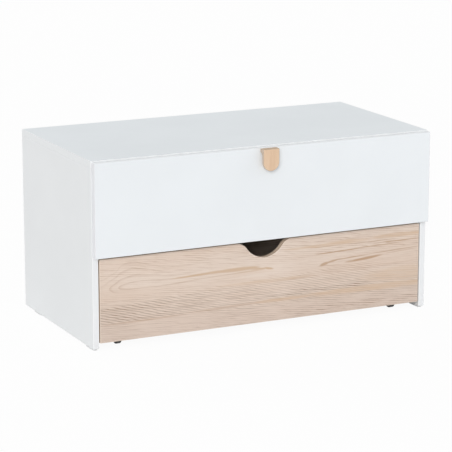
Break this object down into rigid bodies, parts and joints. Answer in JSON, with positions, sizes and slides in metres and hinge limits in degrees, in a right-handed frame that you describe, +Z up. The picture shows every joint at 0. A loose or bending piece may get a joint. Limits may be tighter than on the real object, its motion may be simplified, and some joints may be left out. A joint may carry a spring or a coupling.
{
  "type": "modular dresser",
  "caption": "Low dresser module: a white carcass, an overlay upper drawer with a wood tongue pull on ball runners, and a wood-front lower drawer with a scoop that rolls on castors.",
  "frame": {"origin": "on the floor, under the middle of the overall box", "axes": "+Z up, +X to the right seen from the front, the drawer fronts face -Y"},
  "size_m": [0.93, 0.498, 0.47],
  "materials": {
    "white_board": "white melamine, fine matte",
    "white_front": "white melamine, fine matte",
    "white_box": "white melamine, fine matte",
    "white_hardboard": "white lacquered hardboard",
    "wood_decor": "pale larch decor, horizontal grain, matte",
    "wood_box": "pale larch decor, matte",
    "beech": "oiled beech",
    "dowel_wood": "raw beech",
    "zinc": "die-cast zinc",
    "steel": "zinc plated",
    "runner_steel": "zinc plated, satin",
    "cage_steel": "bright balls in a thin cage",
    "glide_plastic": "white plastic",
    "castor_plastic": "black plastic",
    "wheel_rubber": "dark grey rubber",
    "bumper_rubber": "clear rubber"
  },
  "bodies": {
    "carcass": {"top_panel": "white_board", "left_side_panel": "white_board", "right_side_panel": "white_board", "middle_shelf": "white_board", "rear_rail": "white_board", "back_panel": "white_hardboard", "carcass_cams": "zinc", "carcass_bolts": "steel", "carcass_dowels": "dowel_wood", "runner_cabinet_screws": "steel", "left_runner_outer": "runner_steel", "front_left_glide": "glide_plastic", "rear_left_glide": "glide_plastic", "right_runner_outer": "runner_steel", "front_right_glide": "glide_plastic", "rear_right_glide": "glide_plastic"},
    "upper_drawer": {"upper_front": "white_front", "upper_left_side": "white_box", "upper_right_side": "white_box", "upper_back": "white_box", "upper_bottom": "white_hardboard", "upper_pull": "beech", "pull_screws": "steel", "upper_cams": "zinc", "upper_bolts": "steel", "upper_back_screws": "steel", "front_bumpers": "bumper_rubber", "left_runner_inner": "runner_steel", "right_runner_inner": "runner_steel", "runner_drawer_screws": "steel"},
    "lower_drawer": {"lower_front": "wood_decor", "lower_left_side": "wood_box", "lower_right_side": "wood_box", "lower_back": "wood_box", "lower_bottom": "wood_box", "lower_cams": "zinc", "lower_bolts": "steel", "lower_box_screws": "steel", "castor_axles": "steel", "castor_screws": "steel", "front_left_castor_housing": "castor_plastic", "front_right_castor_housing": "castor_plastic", "rear_left_castor_housing": "castor_plastic", "rear_right_castor_housing": "castor_plastic"},
    "left_runner_middle": {"left_runner_middle": "runner_steel"},
    "left_outer_ball_cage": {"left_outer_ball_cage": "cage_steel"},
    "left_inner_ball_cage": {"left_inner_ball_cage": "cage_steel"},
    "right_runner_middle": {"right_runner_middle": "runner_steel"},
    "right_outer_ball_cage": {"right_outer_ball_cage": "cage_steel"},
    "right_inner_ball_cage": {"right_inner_ball_cage": "cage_steel"},
    "front_left_wheel": {"front_left_wheel": "wheel_rubber"},
    "front_right_wheel": {"front_right_wheel": "wheel_rubber"},
    "rear_left_wheel": {"rear_left_wheel": "wheel_rubber"},
    "rear_right_wheel": {"rear_right_wheel": "wheel_rubber"}
  },
  "joints": [
    {"name": "upper_drawer_slide", "type": "slide", "parent": "carcass", "child": "upper_drawer", "axis": [0, -1, 0], "range_m": [0, 0.4]},
    {"name": "lower_drawer_roll", "type": "slide", "parent": "carcass", "child": "lower_drawer", "axis": [0, -1, 0], "range_m": [0, 0.45]},
    {"name": "left_runner_middle_slide", "type": "slide", "parent": "carcass", "child": "left_runner_middle", "axis": [0, -1, 0], "range_m": [0, 0.2]},
    {"name": "left_outer_ball_cage_slide", "type": "slide", "parent": "carcass", "child": "left_outer_ball_cage", "axis": [0, -1, 0], "range_m": [0, 0.1]},
    {"name": "left_inner_ball_cage_slide", "type": "slide", "parent": "carcass", "child": "left_inner_ball_cage", "axis": [0, -1, 0], "range_m": [0, 0.3]},
    {"name": "right_runner_middle_slide", "type": "slide", "parent": "carcass", "child": "right_runner_middle", "axis": [0, -1, 0], "range_m": [0, 0.2]},
    {"name": "right_outer_ball_cage_slide", "type": "slide", "parent": "carcass", "child": "right_outer_ball_cage", "axis": [0, -1, 0], "range_m": [0, 0.1]},
    {"name": "right_inner_ball_cage_slide", "type": "slide", "parent": "carcass", "child": "right_inner_ball_cage", "axis": [0, -1, 0], "range_m": [0, 0.3]},
    {"name": "front_left_wheel_spin", "type": "hinge", "parent": "lower_drawer", "child": "front_left_wheel", "pos_m": [-0.386, -0.1735, 0.018], "axis": [1, 0, 0], "continuous": true},
    {"name": "front_right_wheel_spin", "type": "hinge", "parent": "lower_drawer", "child": "front_right_wheel", "pos_m": [0.386, -0.1735, 0.018], "axis": [1, 0, 0], "continuous": true},
    {"name": "rear_left_wheel_spin", "type": "hinge", "parent": "lower_drawer", "child": "rear_left_wheel", "pos_m": [-0.386, 0.1665, 0.018], "axis": [1, 0, 0], "continuous": true},
    {"name": "rear_right_wheel_spin", "type": "hinge", "parent": "lower_drawer", "child": "rear_right_wheel", "pos_m": [0.386, 0.1665, 0.018], "axis": [1, 0, 0], "continuous": true}
  ],
  "couplings": [
    {"joint": "left_runner_middle_slide", "follows": "upper_drawer_slide", "ratio": 0.5},
    {"joint": "left_outer_ball_cage_slide", "follows": "upper_drawer_slide", "ratio": 0.25},
    {"joint": "left_inner_ball_cage_slide", "follows": "upper_drawer_slide", "ratio": 0.75},
    {"joint": "right_runner_middle_slide", "follows": "upper_drawer_slide", "ratio": 0.5},
    {"joint": "right_outer_ball_cage_slide", "follows": "upper_drawer_slide", "ratio": 0.25},
    {"joint": "right_inner_ball_cage_slide", "follows": "upper_drawer_slide", "ratio": 0.75},
    {"joint": "front_left_wheel_spin", "follows": "lower_drawer_roll", "rad_per_m": 55.556},
    {"joint": "front_right_wheel_spin", "follows": "lower_drawer_roll", "rad_per_m": 55.556},
    {"joint": "rear_left_wheel_spin", "follows": "lower_drawer_roll", "rad_per_m": 55.556},
    {"joint": "rear_right_wheel_spin", "follows": "lower_drawer_roll", "rad_per_m": 55.556}
  ]
}
